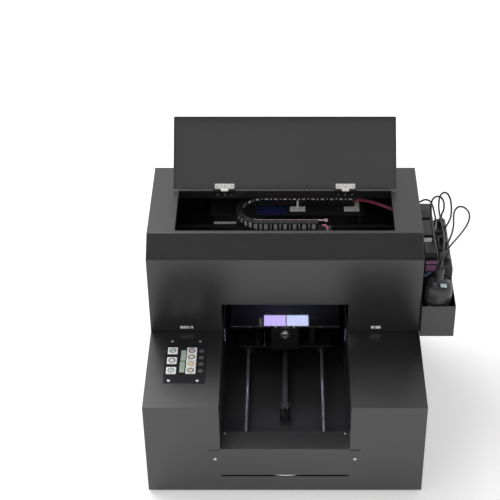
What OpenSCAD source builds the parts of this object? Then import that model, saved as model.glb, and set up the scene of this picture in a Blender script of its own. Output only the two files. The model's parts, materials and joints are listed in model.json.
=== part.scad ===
// Flatbed UV printer: sheet steel housing with a hatch on top, a print bed that slides on two
// rods in the open channel at the front, and a print carriage that runs across it.

/* [Housing] */
// Width of the housing
case_w = 560; // [520:1:600]
// Depth of the housing, without the open lid
case_d = 515; // [505:1:540]
// Height of the two front towers
deck_h = 231; // [225:1:240]
// Height of the housing, without its feet
case_h = 452; // [445:1:470]
// Depth of the front towers
deck_d = 230; // [225:1:240]
// Height of the upper front wall's top edge
wall_top = 418; // [410:1:425]
// Where the sloping edge meets the top
slope_d = 277; // [270:1:282]
// Thickness of the sheet steel
sheet = 2; // [1.5:0.5:2]
// Height of a rubber foot
foot_h = 6; // [4:1:10]

/* [Channel] */
// Clear width of the bed's channel
channel_w = 260; // [250:1:264]
// Height of the flange across the channel's front
lip_h = 118; // [114:1:120]
// Depth of that flange
lip_d = 50; // [40:1:50]
// Top of the opening in the upper front wall
tunnel_h = 303; // [290:1:320]
// Height of the channel's floor
floor_h = 70; // [64:1:72]

/* [Hatch and lid] */
// Width of the hatch
hatch_w = 446; // [400:1:450]
// Front edge of the hatch
hatch_front = 286; // [284:1:300]
// Width of the lid
lid_w = 469; // [460:1:480]
// Length of the lid, from its hinge side to its front
lid_len = 152.5; // [150:0.5:154]
// How far the lid stands open
lid_open = 132; // [100:1:135]

/* [Bed] */
// Width of the print bed
bed_w = 236; // [200:1:240]
// Length of the print bed
bed_len = 200; // [180:1:200]
// Height of the bed's top at its lowest
bed_h = 180; // [178:1:182]
// Radius of a guide rod
rod_r = 4; // [3:0.5:4]
// How far each rod is from the middle
rod_x = 80; // [70:1:90]

/* [Carriage] */
// Left side of the carriage
carr_x0 = -52; // [-60:1:-50]
// Right side of the carriage
carr_x1 = 100; // [98:1:105]
// Centre radius of the cable chain's bend
chain_r = 47; // [44:1:50]

/* [Ink] */
// Width of the tray on the right side
tray_w = 70; // [66:1:80]
// Height of the tray's walls
tray_h = 80; // [60:1:90]
// Front and back of the tray
tray_y = [215, 500];

/* [Hidden] */
$fn = 48;
gap = 0.05;   // radial clearance of a running fit
cut = 1;      // how far a cutting tool stands out of what it cuts
head_h = 1.5; // height of a screw head
hx = case_w / 2;
cx = channel_w / 2;

// hinge axis of the lid, and the two hinges on it
pin = [424, 455];
pin_r = 1.5;
knuckle_r = 3;
leaf_t = 1.6;
leaf_w = 41;
leaf_len = 11;
hinge_x = [-127, 127];
lid_gap = 3.5;

// where the screws are
deck_screws = [[-232.6, 78.5], [-175.2, 78.5], [-232.6, 198.6], [-175.2, 198.6]];
front_screws = [[-141, 90], [141, 90]];
lip_screws = [[-122, 44], [122, 44]];
rear_screws = [[-265, 20], [265, 20], [-265, 230], [265, 230], [-265, 438], [265, 438]];

// keypad
pad_x = [-245, -160];
pad_y = [70, 207];
pad_t = 0.6;
key_w = 20;
key_left = [-230, 168, 30];
key_right = [-190.6, 168, 20];
key_left_d = 20;
key_right_d = 18.6;

// bed mechanism
slide_y = [315, 445];
slide_z = [112, 118];
rod_z = 102;
rod_y = [40, 508];
screw_z = 162;
post_y = [330, 428];
belt_r = 6;
belt_t = 1.2;
bed_pulley_y = [139, 485];
bed_pulley_z = 100;
bed_front = 307;
clamp_y = [404, 420];
trough_y = [2 * sheet + 0.5, case_d - sheet - 1];

// carriage mechanism
rail_y = 405;
rail_z = 368;
beam_y = [398, 419];
pulley_x = 255;
pulley_y = 408;
belt_z = [334, 346];
chain_c = [-50, 420];
chain_z = 391;
chain_link = [17, 13, 20];
chain_pitch = 20;
lamp_x = [-49.5, 53.5];
window_x = [-46.5, 3.7];
window_w = 48;

// rear panel fittings
fan_c = [-200, 120];
fan_size = 60;
inlet_c = [205, 44];
switch_c = [205, 84];
usb_c = [-174, 28];

// ink bottles, as [left, right, front, back, top]
bottles = [[288, 317, 284, 300, 366], [288, 317, 304, 361, 380], [288, 317, 366, 424, 380],
    [288, 317, 429, 485, 380], [320, 347, 286, 338, 360], [320, 347, 343, 397, 360],
    [320, 347, 402, 456, 360]];
cap_at = [[334, 312], [334, 370], [334, 429]];
cap_top = 375;
waste_c = [315, 249];
waste_top = 384;
tube_r = 2;

// routes of the free tubes, from the big bottle's cap to where each one ends
ink_routes = [
    [[311, 251, 384], [311, 251, 390], [311, 251, 397], [310, 257, 406], [309, 270, 410],
        [308, 290, 409], [308, 313, 405], [308, 336, 402], [308, 358, 401], [308, 379, 403],
        [308, 397, 408], [308, 410, 416], [308, 417, 427], [312, 421, 438], [322, 423, 442],
        [332, 421, 438], [336, 416, 427], [336, 413, 415], [335, 417, 404], [334, 425, 396],
        [334, 429, 388], [334, 429, 381], [334, 429, 375]],
    [[319, 252, 384], [319, 252, 390], [319, 252, 397], [320, 259, 406], [322, 273, 410],
        [325, 293, 410], [328, 318, 406], [329, 348, 403], [328, 378, 404], [326, 402, 408],
        [325, 418, 414], [326, 430, 422], [328, 438, 430], [334, 444, 436], [343, 444, 436],
        [349, 438, 430], [352, 429, 422], [352, 413, 413], [350, 398, 406], [345, 386, 401],
        [338, 376, 397], [334, 370, 390], [334, 370, 381], [334, 370, 375]],
    [[315, 244, 384], [315, 244, 390], [316, 244, 398], [319, 251, 408], [327, 264, 415],
        [338, 284, 417], [350, 306, 413], [361, 328, 409], [373, 351, 407], [384, 374, 407],
        [390, 397, 409], [387, 416, 411], [377, 427, 412], [366, 427, 411], [358, 415, 408],
        [355, 397, 405], [354, 376, 403], [350, 354, 402], [344, 334, 402], [338, 318, 401],
        [334, 311, 395], [334, 311, 386], [334, 312, 380], [334, 312, 375]],
    [[280, 472, 388], [286, 472, 388], [293, 472, 393], [300, 472, 398], [308, 470, 399],
        [315, 464, 396], [318, 453, 391], [319, 438, 389], [320, 421, 388], [320, 404, 388],
        [318, 387, 391], [315, 371, 396], [312, 358, 399], [310, 349, 394], [310, 347, 387],
        [310, 347, 380]]
];
supply_route = [[146, 0, 0], [170, -4, 2], [200, -14, 0], [236, -30, -8], [276, -38, -20]];
carriage_route = [[78, 373, 401], [84, 372, 403], [88, 367, 402], [90, 361, 398], [90, 359, 391],
    [90, 359, 385]];

// the object's frame: its origin is under the middle of its box
y_max = pin[0] - (lid_len + lid_gap) * cos(lid_open) + 3 * sin(lid_open);
shift = [-tray_w / 2, -(y_max - head_h) / 2, foot_h];

module place() translate(shift) children();
module box(x, y, z) translate([x[0], y[0], z[0]]) cube([x[1] - x[0], y[1] - y[0], z[1] - z[0]]);
// a cylinder along one axis: at its start point, with a length
module rod_x_axis(p, r, l) translate(p) rotate([0, 90, 0]) cylinder(r = r, h = l);
module rod_y_axis(p, r, l) translate(p) rotate([-90, 0, 0]) cylinder(r = r, h = l);
module rod_z_axis(p, r, l) translate(p) cylinder(r = r, h = l);
module both_sides() for (s = [0, 1]) mirror([s, 0, 0]) children();
// a profile in the Y and Z plane, extruded along X
module side_profile(x, points)
    translate([x[0], 0, 0]) rotate([90, 0, 90]) linear_extrude(x[1] - x[0]) polygon(points);
// a closed belt around two pulleys, flat in the X and Y plane, centred between them
module belt_loop(l, r, h) linear_extrude(h) difference() {
    belt_outline(l, r + belt_t);
    belt_outline(l, r);
}
module belt_outline(l, r) {
    for (s = [-1, 1]) translate([s * l / 2, 0]) circle(r);
    square([l, 2 * r], center = true);
}
module bolt_head(r) cylinder(r = r, h = head_h);

// a smooth route that hand-set points steer, and a tube swept along it
function route(p) = let (e = len(p) - 1)
    concat([p[0]], [for (i = [1:e - 1]) (p[i - 1] + 4 * p[i] + p[i + 1]) / 6], [p[e]]);
function unit(v) = v / norm(v);
function heading(p, i) = unit(p[min(i + 1, len(p) - 1)] - p[max(i - 1, 0)]);
function turned(v, t) = unit(v - (v * t) * t);
function sides(p, i, v) = i >= len(p) ? [] :
    let (n = turned(v, heading(p, i))) concat([n], sides(p, i + 1, n));
module tube(p, r, n) {
    side = sides(p, 0, [0.3, 0.1, 1]);
    e = len(p) - 1;
    points = [for (i = [0:e]) let (t = heading(p, i), u = side[i], w = cross(t, u))
        for (k = [0:n - 1]) p[i] + r * (cos(360 * k / n) * u + sin(360 * k / n) * w)];
    walls = [for (i = [0:e - 1], k = [0:n - 1]) let (m = (k + 1) % n)
        [i * n + k, (i + 1) * n + k, (i + 1) * n + m, i * n + m]];
    polyhedron(points, concat(walls, [[for (k = [0:n - 1]) k]],
        [[for (k = [n - 1:-1:0]) e * n + k]]), convexity = 6);
}

// ---- housing ----
module base_pan() color("#2a2a2c") {
    box([-hx + sheet, hx - sheet], [sheet, case_d - sheet], [0, sheet]);
    for (x = [-hx + sheet, hx - 2 * sheet])
        box([x, x + sheet], [sheet, case_d - sheet], [sheet, 14]);
    box([-hx + 2 * sheet, hx - 2 * sheet], [sheet, 2 * sheet], [sheet, 14]);
}

module lower_case() color("#2b2a2c") difference() {
    union() {
        box([-hx, hx], [0, sheet], [0, deck_h]);
        both_sides() {
            box([hx - sheet, hx], [sheet, case_d], [0, deck_h]);
            box([cx, hx - sheet], [sheet, deck_d + sheet], [deck_h - sheet, deck_h]);
            box([cx, cx + sheet], [sheet, deck_d + sheet], [lip_h - sheet, deck_h - sheet]);
            box([cx, cx + sheet], [deck_d + sheet, 480], [lip_h - sheet, 212]);
        }
        box([-cx, cx], [sheet, lip_d], [lip_h - sheet, lip_h]);
    }
    box([-cx, cx], [-cut, sheet], [lip_h, deck_h + cut]);
    box([-cx, cx], [-cut, sheet + cut], [40, 44]);
    both_sides() box([cx - cut, cx + 22], [-cut, sheet + cut], [lip_h - 4, lip_h - 2.5]);
    key_windows();
    for (p = deck_screws) rod_z_axis([p[0], p[1], deck_h - 5], 1.6, 10);
    for (p = front_screws) rod_y_axis([p[0], -cut, p[1]], 1.6, 5);
    for (p = lip_screws) rod_z_axis([p[0], p[1], lip_h - 5], 1.6, 10);
}

module key_windows() {
    for (i = [0:2]) window(key_left[0], key_left[1] - key_left[2] * i, key_left_d);
    window(key_right[0], key_right[1] - 1.5 * key_right[2], key_right_d + 3 * key_right[2]);
}
module window(x, y, d) box([x - key_w / 2 - 0.4, x + key_w / 2 + 0.4], [y - d / 2 - 0.4, y + d / 2 + 0.4],
    [deck_h - 6, deck_h + 6]);

module upper_case() color("#2c2b2d") {
    difference() {
        side_profile([-hx, hx], [[deck_d, deck_h], [deck_d, wall_top], [slope_d, case_h],
            [case_d, case_h], [case_d, deck_h]]);
        side_profile([-hx + sheet, hx - sheet], [[deck_d + sheet, deck_h - cut],
            [deck_d + sheet, wall_top - 1], [slope_d + 0.6, case_h - sheet],
            [case_d + cut, case_h - sheet], [case_d + cut, deck_h - cut]]);
        box([-cx, cx], [deck_d - cut, deck_d + 3 * sheet], [deck_h - cut, tunnel_h]);
        box([-hatch_w / 2, hatch_w / 2], [hatch_front, pin[0] + knuckle_r],
            [case_h - 3 * sheet, case_h + cut]);
    }
    both_sides() box([hatch_w / 2, hatch_w / 2 + sheet], [hatch_front - sheet, pin[0] + knuckle_r + sheet],
        [case_h - 12, case_h - sheet]);
    box([-hatch_w / 2, hatch_w / 2], [hatch_front - sheet, hatch_front], [case_h - 12, case_h - sheet]);
    box([-hatch_w / 2, hatch_w / 2], [pin[0] + knuckle_r, pin[0] + knuckle_r + sheet],
        [case_h - 20, case_h - sheet]);
}

module rear_panel() color("#2a2a2c") difference() {
    box([-hx + sheet, hx - sheet], [case_d - sheet, case_d], [0, case_h - sheet]);
    rod_y_axis([fan_c[0], case_d - 5, fan_c[1]], 27, 10);
    box([inlet_c[0] - 24, inlet_c[0] + 24], [case_d - 5, case_d + 5], [inlet_c[1] - 14, inlet_c[1] + 14]);
    box([switch_c[0] - 11, switch_c[0] + 11], [case_d - 5, case_d + 5], [switch_c[1] - 15, switch_c[1] + 15]);
    box([usb_c[0] - 7, usb_c[0] + 7], [case_d - 5, case_d + 5], [usb_c[1] - 7, usb_c[1] + 7]);
    for (i = [0:9]) box([-60 + 14 * i, -54 + 14 * i], [case_d - 5, case_d + 5], [330, 380]);
    for (p = rear_screws) rod_y_axis([p[0], case_d - 5, p[1]], 1.6, 10);
}

module channel_trough() color("#1d1d1f") {
    both_sides() box([cx - 2.5, cx - 0.5], trough_y, [sheet, lip_h - 6]);
    box([-cx + 2.5, cx - 2.5], trough_y, [floor_h, floor_h + sheet]);
}

module slot_lip() color("#e8e8ec")
    translate([1.5, 130, 41]) intersection() {
        difference() {
            cylinder(r = 129, h = 2, $fn = 128);
            translate([0, 0, -cut]) cylinder(r = 118, h = 4, $fn = 128);
        }
        translate([-28, -130, -cut]) cube([56, 20, 4]);
    }

module feet() color("#151515")
    for (x = [-257, 257], y = [25, 480]) translate([x, y, -foot_h]) cylinder(r = 12, h = foot_h);

module housing_screws() color("#8d8d92") {
    for (p = deck_screws) translate([p[0], p[1], deck_h + pad_t]) screw(3.4, 6);
    for (p = front_screws) translate([p[0], 0, p[1]]) rotate([90, 0, 0]) screw(3.4, 6);
    for (p = lip_screws) translate([p[0], p[1], lip_h]) screw(2.4, 5);
    for (p = rear_screws) translate([p[0], case_d, p[1]]) rotate([-90, 0, 0]) screw(3.4, 6);
}
module screw(r, l) {
    bolt_head(r);
    translate([0, 0, -l]) cylinder(r = 1.5, h = l);
}

// ---- lid, drawn closed about its hinge axis and then opened ----
module opened() translate([0, pin[0], pin[1]]) rotate([-lid_open, 0, 0]) children();

module lid_panel() color("#4a494c") opened() {
    far = -lid_gap - lid_len;
    box([-lid_w / 2, lid_w / 2], [far, -lid_gap], [1, 3]);
    both_sides() box([lid_w / 2 - sheet, lid_w / 2], [far, -lid_gap], [-2, 1]);
    box([-lid_w / 2 + sheet, lid_w / 2 - sheet], [far, far + sheet], [-7, 1]);
    difference() {
        box([-hatch_w / 2 + 3, hatch_w / 2 - 3], [-lid_gap - sheet, -lid_gap], [-9, 1]);
        for (x = hinge_x) box([x - leaf_w / 2 - 2, x + leaf_w / 2 + 2], [-10, 0], [-10, 1]);
    }
}

module hinge_bore(l) translate([-l / 2, 0, 0]) rotate([0, 90, 0]) cylinder(r = pin_r + gap, h = l);

module lid_hinge_leaves() color("#dcdcdf") opened() for (x = hinge_x) translate([x, 0, 0]) {
    box([-leaf_w / 2, leaf_w / 2], [-leaf_len - 3, -knuckle_r - 0.4], [1 - leaf_t, 1]);
    difference() {
        union() {
            rod_x_axis([-7.7, 0, 0], knuckle_r, 15.4);
            box([-7.7, 7.7], [-knuckle_r - 0.4, 0], [1 - leaf_t, 1]);
        }
        hinge_bore(20);
    }
}

module frame_hinge_leaves() color("#3a3a3d") for (x = hinge_x) translate([x, pin[0], pin[1]]) {
    box([-leaf_w / 2, leaf_w / 2], [knuckle_r - leaf_t, knuckle_r], [-leaf_len, -knuckle_r - 0.4]);
    for (s = [-1, 1]) {
        rod_x_axis([s * 15.5 - 7.5, 0, 0], knuckle_r, 15);
        box([s * 15.5 - 7.5, s * 15.5 + 7.5], [knuckle_r - leaf_t, knuckle_r], [-knuckle_r - 0.4, 0]);
    }
    rod_x_axis([-8, 0, 0], pin_r, 16);
}

// ---- control panel ----
module keypad_overlay() color("#161618") difference() {
    box(pad_x, pad_y, [deck_h, deck_h + pad_t]);
    key_windows();
    for (p = deck_screws) rod_z_axis([p[0], p[1], deck_h - 5], 1.6, 10);
}

module key_cap(col, i, d) color("#f1f1f1") translate([col[0], col[1] - col[2] * i, 0]) {
    box([-key_w / 2, key_w / 2], [-d / 2, d / 2], [deck_h - 4, deck_h + pad_t + 1.4]);
    box([-key_w / 2 - 2, key_w / 2 + 2], [-d / 2, d / 2], [deck_h - 6, deck_h - 4]);
}

module control_board() color("#1f5a36") {
    box([-252, -158], [80, 197], [deck_h - 16, deck_h - 14.4]);
    for (i = [0:2]) translate([key_left[0], key_left[1] - key_left[2] * i, 0]) dome_switch();
    for (i = [0:3]) translate([key_right[0], key_right[1] - key_right[2] * i, 0]) dome_switch();
    for (x = [-248, -162], y = [86, 191]) rod_z_axis([x, y, deck_h - 14.4], 2.5, 12.4);
}
module dome_switch() box([-3, 3], [-3, 3], [deck_h - 14.4, deck_h - 7.2]);

// ---- bed ----
module bed_rods() color("#c9cacf") both_sides()
    rod_y_axis([rod_x, rod_y[0], rod_z], rod_r, rod_y[1] - rod_y[0]);

module rod_supports() color("#303033") {
    both_sides() for (y = [rod_y[0], rod_y[1] - 12]) difference() {
        box([rod_x - 12, rod_x + 12], [y, y + 12], [floor_h + sheet, rod_z + 9]);
        rod_y_axis([rod_x, y - cut, rod_z], rod_r, 12 + 2 * cut);
    }
    for (s = [-1, 1]) box([s * 9 - 1.5, s * 9 + 1.5], [bed_pulley_y[0] - 8, bed_pulley_y[0] + 8],
        [floor_h + sheet, bed_pulley_z + 8]);
    rod_x_axis([-7.5, bed_pulley_y[0], bed_pulley_z], 2, 15);
}

module slide_base() color("#3a3b3f") {
    difference() {
        box([-100, 100], slide_y, slide_z);
        for (x = [-60, 60], y = post_y) rod_z_axis([x, y, slide_z[0] - cut], 4, 10);
    }
    both_sides() for (y = [slide_y[0] + 3, slide_y[1] - 33]) difference() {
        box([rod_x - 11, rod_x + 11], [y, y + 30], [rod_z - 10, slide_z[0]]);
        rod_y_axis([rod_x, y - cut, rod_z], rod_r + gap, 30 + 2 * cut);
    }
    // clamp around the belt's upper run
    for (s = [-1, 1]) box([s * 8 - 2, s * 8 + 2], clamp_y, [102, slide_z[0]]);
    box([-6, 6], clamp_y, [108, slide_z[0]]);
    // bracket that holds the lift's screw
    difference() {
        box([-30, 30], [309, slide_y[0]], [slide_z[0], 173]);
        rod_y_axis([0, 305, screw_z], rod_r + gap, 20);
    }
}

module lift_posts() color("#b8b9be") for (x = [-60, 60], y = post_y)
    rod_z_axis([x, y, slide_z[0]], 4, 60);

module lift_wedge() color("#55565b") difference() {
    side_profile([-30, 30], [[372.6, slide_z[1] + 0.3], [444, slide_z[1] + 0.3], [444, 167.5],
        [421.8, 167.5]]);
    rod_y_axis([0, 360, screw_z], rod_r + gap, 100);
}

module lift_screw() color("#c2c3c8") rod_y_axis([0, 307, screw_z], rod_r, 143);

module lift_knob() color("#d9dade") difference() {
    union() {
        rod_y_axis([0, 297, screw_z], 11, 10);
        rod_y_axis([0, 295.5, screw_z], 8, 1.5);
    }
    for (k = [0:15]) translate([0, 0, screw_z]) rotate([0, 360 / 16 * k, 0])
        rod_y_axis([11.6, 296, 0], 1.2, 12);
}

module bed_riser() color("#46474c") {
    for (s = [-1, 1]) side_profile([s * 19 - 11, s * 19 + 11],
        [[340, 168], [340, 124], [377.6, 124], [421.6, 168]]);
    for (x = [-60, 60], y = post_y) difference() {
        rod_z_axis([x, y, 122], 8, 46);
        rod_z_axis([x, y, 121], 4 + gap, 48);
    }
    // frame under the plate, with clearance for the posts
    difference() {
        box([-100, 100], [318, 496], [168, bed_h - 6]);
        box([-9, 9], [317, 460], [167, bed_h]);
        for (x = [-60, 60], y = post_y) rod_z_axis([x, y, 160], 4 + gap, 20);
    }
}

module bed_plate() color("#101012")
    box([-bed_w / 2, bed_w / 2], [bed_front, bed_front + bed_len], [bed_h - 6, bed_h]);

module bed_belt() color("#1b1b1d") translate([-5, (bed_pulley_y[0] + bed_pulley_y[1]) / 2, bed_pulley_z])
    rotate([90, 0, 90]) belt_loop(bed_pulley_y[1] - bed_pulley_y[0], belt_r, 10);

module bed_motor() color("#2f3034") difference() {
    union() {
        box([8, 50], [464, 506], [79, 121]);
        for (x = [10, 46]) box([x, x + 3], [467, 503], [floor_h + sheet, 79]);
    }
    rod_x_axis([7, bed_pulley_y[1], bed_pulley_z], 2.5 + gap, 30);
}

module bed_drive_pulley() color("#b9bac0") {
    rod_x_axis([-5.5, bed_pulley_y[1], bed_pulley_z], belt_r - 0.3, 11);
    rod_x_axis([5, bed_pulley_y[1], bed_pulley_z], 2.5, 28);
}

module bed_idler_pulley() color("#b9bac0") difference() {
    rod_x_axis([-5.5, bed_pulley_y[0], bed_pulley_z], belt_r - 0.3, 11);
    rod_x_axis([-6, bed_pulley_y[0], bed_pulley_z], 2 + gap, 12);
}

// ---- carriage ----
module carriage_beam() color("#3c3d41") {
    box([-235, 235], [beam_y[1] - 3, beam_y[1]], [300, rail_z - 3]);
    difference() {
        box([-276, 276], beam_y, [rail_z - 3, rail_z]);
        rod_z_axis([-pulley_x, pulley_y, rail_z - 5], 5, 10);
    }
    rod_z_axis([pulley_x, pulley_y, rail_z - 33], 2, 31);
    // shelf for the cable chain, carried by the rear panel
    box([-160, 170], [428, case_d - sheet], [386, 389]);
    for (x = [-150, 158]) box([x, x + 3], [beam_y[1], case_d - sheet], [rail_z - 30, 386]);
}

module guide_rail() color("#5a5b60") box([-232, 235], [rail_y - 5, rail_y + 5], [rail_z, rail_z + 10]);

module carriage_housing() color("#28292c") {
    difference() {
        box([carr_x0, carr_x1], [345, 396.5], [291, 385]);
        box([carr_x0 + 2.5, carr_x1 - 2.5], [347.5, 394], [290, 382]);
    }
    difference() {
        box([carr_x0, carr_x1], [345, 412], [288, 291]);
        box([54, 97.5], [350, 394], [287, 292]);
    }
    // slider on the rail
    difference() {
        box([-5, 65], [396.5, 413.5], [rail_z + 2, rail_z + 18]);
        box([-6, 66], [rail_y - 5.1, rail_y + 5.1], [rail_z, rail_z + 10.1]);
    }
    // clamp on the belt
    difference() {
        box([20, 40], [396.5, 405], [330, 350]);
        box([19, 41], [400.5, 402.3], [333.5, 346.5]);
    }
    // chain's moving end
    box([74, 94], [366, 380], [385, chain_z - 0.5]);
}

module print_head() color("#3d3e42") {
    box([54.3, 97.2], [350.3, 393.7], [230, 300]);
    box([60, 92], [356, 388], [300, 330]);
}

module uv_lamp() color("#4b4c50") box(lamp_x, [366, 410], [232, 288]);

module lamp_windows() color("#b9b4ff")
    for (x = window_x) box([x, x + window_w], [370, 405], [230.5, 232]);

module carriage_belt() color("#1b1b1d") translate([0, pulley_y, belt_z[0]])
    belt_loop(2 * pulley_x, belt_r, belt_z[1] - belt_z[0]);

module carriage_motor() color("#2f3034") difference() {
    rod_z_axis([-pulley_x, pulley_y, rail_z], 17, 34);
    rod_z_axis([-pulley_x, pulley_y, rail_z - 1], 2.5 + gap, 20);
}

module carriage_drive_pulley() color("#b9bac0") {
    rod_z_axis([-pulley_x, pulley_y, belt_z[0] - 0.5], belt_r - 0.3, 13);
    rod_z_axis([-pulley_x, pulley_y, belt_z[1]], 2.5, 38);
}

module carriage_idler_pulley() color("#b9bac0") difference() {
    rod_z_axis([pulley_x, pulley_y, belt_z[0] - 0.5], belt_r - 0.3, 13);
    rod_z_axis([pulley_x, pulley_y, belt_z[0] - 1], 2 + gap, 14);
}

module capping_station() color("#2c2d30") {
    difference() {
        box([134, 236], [346, 398], [180, 214]);
        box([170, 222], [350, 394], [196, 215]);
        rod_z_axis([196, 372, 179], 3 + gap, 20);
    }
    box([226, 229], [350, 394], [sheet, 180]);
    box([138, 141], [350, 394], [sheet, 180]);
}

module cap_pad() color("#3a3a3d") {
    difference() {
        box([174, 218], [352, 392], [216, 222]);
        box([178, 214], [356, 388], [219, 223]);
    }
    rod_z_axis([196, 372, 184], 3, 33);
}

// each link is an open frame that stands on its side; the chain runs round one bend
module chain_frame() difference() {
    translate([0, 0, chain_link[2] / 2]) cube(chain_link, center = true);
    translate([0, 0, chain_link[2] / 2]) cube([chain_link[0] - 6, 20, chain_link[2] - 6], center = true);
    translate([0, 0, chain_link[2] / 2]) cube([20, chain_link[1] - 4, chain_link[2] - 6], center = true);
}
module straight_link(i, side)
    translate([chain_c[0] + (i + 0.5) * chain_pitch, chain_c[1] + side, chain_z]) chain_frame();
module cable_chain() color("#232326") {
    step = chain_pitch / chain_r * 180 / PI;
    for (i = [0:9]) straight_link(i, chain_r);
    for (i = [0:5]) straight_link(i, -chain_r);
    for (i = [0:6]) translate([chain_c[0], chain_c[1], chain_z])
        rotate([0, 0, 180 + (i - 3) * step]) translate([chain_r, 0, 0]) rotate([0, 0, 90]) chain_frame();
}

module chain_brackets() color("#eeeeef") {
    for (x = [27, 143]) difference() {
        box([x - 16.5, x + 16.5], [440, 456], [389, 391]);
        for (s = [-1, 1]) rod_z_axis([x + 8 * s, 448, 388], 2.5, 4);
    }
    box([25, 29], [456, 459.5], [389, 405]);
    box([149, 159.5], [456, 474], [389, 391]);
}

module supply_tubes() color("#b9465a") for (s = [-1, 1])
    tube(route([for (p = supply_route) p + [0, 467 + 2.6 * s, 401]]), tube_r, 8);

module carriage_tubes() color("#c8506a") tube(route(carriage_route), tube_r, 8);

// ---- electrics ----
module power_supply() color("#9a9ba0") {
    difference() {
        box([150, 260], [30, 220], [sheet, 52]);
        for (i = [0:11]) box([160, 250], [60 + 12 * i, 64 + 12 * i], [51, 53]);
    }
}

module main_board() color("#1f5a36") {
    box([-266, -140], [380, 505], [20, 21.6]);
    for (x = [-260, -146], y = [386, 499]) rod_z_axis([x, y, sheet], 2.5, 18);
    box([usb_c[0] - 6, usb_c[0] + 6], [498, case_d + 1], [21.6, 21.6 + 11]);
    box([-240, -215], [420, 445], [21.6, 25]);
    for (i = [0:3]) rod_z_axis([-200 + 14 * i, 400, 21.6], 5, 14);
}

module fan_frame() color("#1a1a1c") translate([fan_c[0], case_d - sheet - 20, fan_c[1]])
    difference() {
        union() {
            difference() {
                box([-fan_size / 2, fan_size / 2], [0, 20], [-fan_size / 2, fan_size / 2]);
                rod_y_axis([0, -1, 0], 28, 22);
            }
            rod_y_axis([0, 0, 0], 12, 4);
            for (a = [45:90:315]) rotate([0, a, 0]) box([10, 29], [0, 3], [-1.5, 1.5]);
        }
        rod_y_axis([0, -1, 0], 2 + gap, 10);
    }

module fan_rotor() color("#242427") translate([fan_c[0], case_d - sheet - 20, fan_c[1]]) {
    rod_y_axis([0, 5, 0], 12, 12);
    rod_y_axis([0, 0.5, 0], 2, 5);
    for (a = [0:7]) rotate([0, 360 / 7 * a, 0]) translate([18, 11, 0]) rotate([35, 0, 0])
        cube([15, 1.5, 13], center = true);
}

module power_inlet() color("#1c1c1e") {
    x = inlet_c[0];
    difference() {
        union() {
            box([x - 24, x + 24], [case_d - 22, case_d], [inlet_c[1] - 14, inlet_c[1] + 14]);
            box([x - 30, x + 30], [case_d, case_d + 2], [inlet_c[1] - 19, inlet_c[1] + 19]);
        }
        box([x - 14, x + 14], [case_d - 18, case_d + 3], [inlet_c[1] - 9, inlet_c[1] + 9]);
    }
    for (p = [[-7, -2], [7, -2], [0, 3]])
        box([x + p[0] - 1, x + p[0] + 1], [case_d - 18, case_d - 2],
            [inlet_c[1] + p[1] - 2, inlet_c[1] + p[1] + 2]);
    difference() {
        union() {
            box([x - 11, x + 11], [case_d - 18, case_d], [switch_c[1] - 15, switch_c[1] + 15]);
            box([x - 13, x + 13], [case_d, case_d + 2], [switch_c[1] - 17, switch_c[1] + 17]);
        }
        box([x - 8, x + 8], [case_d - 12, case_d + 3], [switch_c[1] - 13, switch_c[1] + 13]);
        rod_x_axis([x - 10, case_d - 3, switch_c[1]], 1.5 + gap, 20);
    }
}

module power_switch() color("#111113") translate([switch_c[0], case_d - 3, switch_c[1]])
    rotate([10, 0, 0]) {
        side_profile([-7.6, 7.6], [[-4, -8], [-4, 8], [3, 12], [4, 0], [3, -12]]);
        rod_x_axis([-9.6, 0, 0], 1.5, 19.2);
    }

// ---- ink ----
module ink_tray() color("#333336") difference() {
    box([hx, hx + tray_w], tray_y, [deck_h, deck_h + tray_h]);
    box([hx + sheet, hx + tray_w - sheet], [tray_y[0] + sheet, tray_y[1] - sheet],
        [deck_h + sheet, deck_h + tray_h + cut]);
}

module ink_bottles() color("#2a2a2c") for (b = bottles) {
    box([b[0], b[1]], [b[2], b[3]], [deck_h + sheet, b[4] - 6]);
    box([b[0] + 2, b[1] - 2], [b[2] + 2, b[3] - 2], [b[4] - 6, b[4]]);
}

module bottle_caps() color("#18181a") {
    for (c = cap_at) rod_z_axis([c[0], c[1], 360], 8, cap_top - 360);
    rod_z_axis([waste_c[0], waste_c[1], waste_top - 14], 9.5, 14);
}

module waste_bottle() color("#1e1e20") translate([waste_c[0], waste_c[1], deck_h + sheet])
    rotate_extrude($fn = 64) polygon([[0, 0], [29, 0], [29, 20], [27.5, 22], [27.5, 84], [29, 86],
        [29, 92], [27.5, 94], [29, 96], [29, 104], [26, 114], [8.5, 119], [8.5, 137], [0, 137]]);

module ink_tubes() color("#1a1a1c") for (p = ink_routes) tube(route(p), tube_r, 8);

place() base_pan();
place() lower_case();
place() upper_case();
place() rear_panel();
place() channel_trough();
place() slot_lip();
place() feet();
place() housing_screws();
place() lid_panel();
place() lid_hinge_leaves();
place() frame_hinge_leaves();
place() keypad_overlay();
place() key_cap(key_left, 0, key_left_d);  // key_left_1
place() key_cap(key_left, 1, key_left_d);  // key_left_2
place() key_cap(key_left, 2, key_left_d);  // key_left_3
place() key_cap(key_right, 0, key_right_d);  // key_right_1
place() key_cap(key_right, 1, key_right_d);  // key_right_2
place() key_cap(key_right, 2, key_right_d);  // key_right_3
place() key_cap(key_right, 3, key_right_d);  // key_right_4
place() control_board();
place() bed_rods();
place() rod_supports();
place() slide_base();
place() lift_posts();
place() lift_wedge();
place() lift_screw();
place() lift_knob();
place() bed_riser();
place() bed_plate();
place() bed_belt();
place() bed_motor();
place() bed_drive_pulley();
place() bed_idler_pulley();
place() carriage_beam();
place() guide_rail();
place() carriage_housing();
place() print_head();
place() uv_lamp();
place() lamp_windows();
place() carriage_belt();
place() carriage_motor();
place() carriage_drive_pulley();
place() carriage_idler_pulley();
place() capping_station();
place() cap_pad();
place() cable_chain();
place() chain_brackets();
place() supply_tubes();
place() carriage_tubes();
place() power_supply();
place() main_board();
place() fan_frame();
place() fan_rotor();
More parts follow.
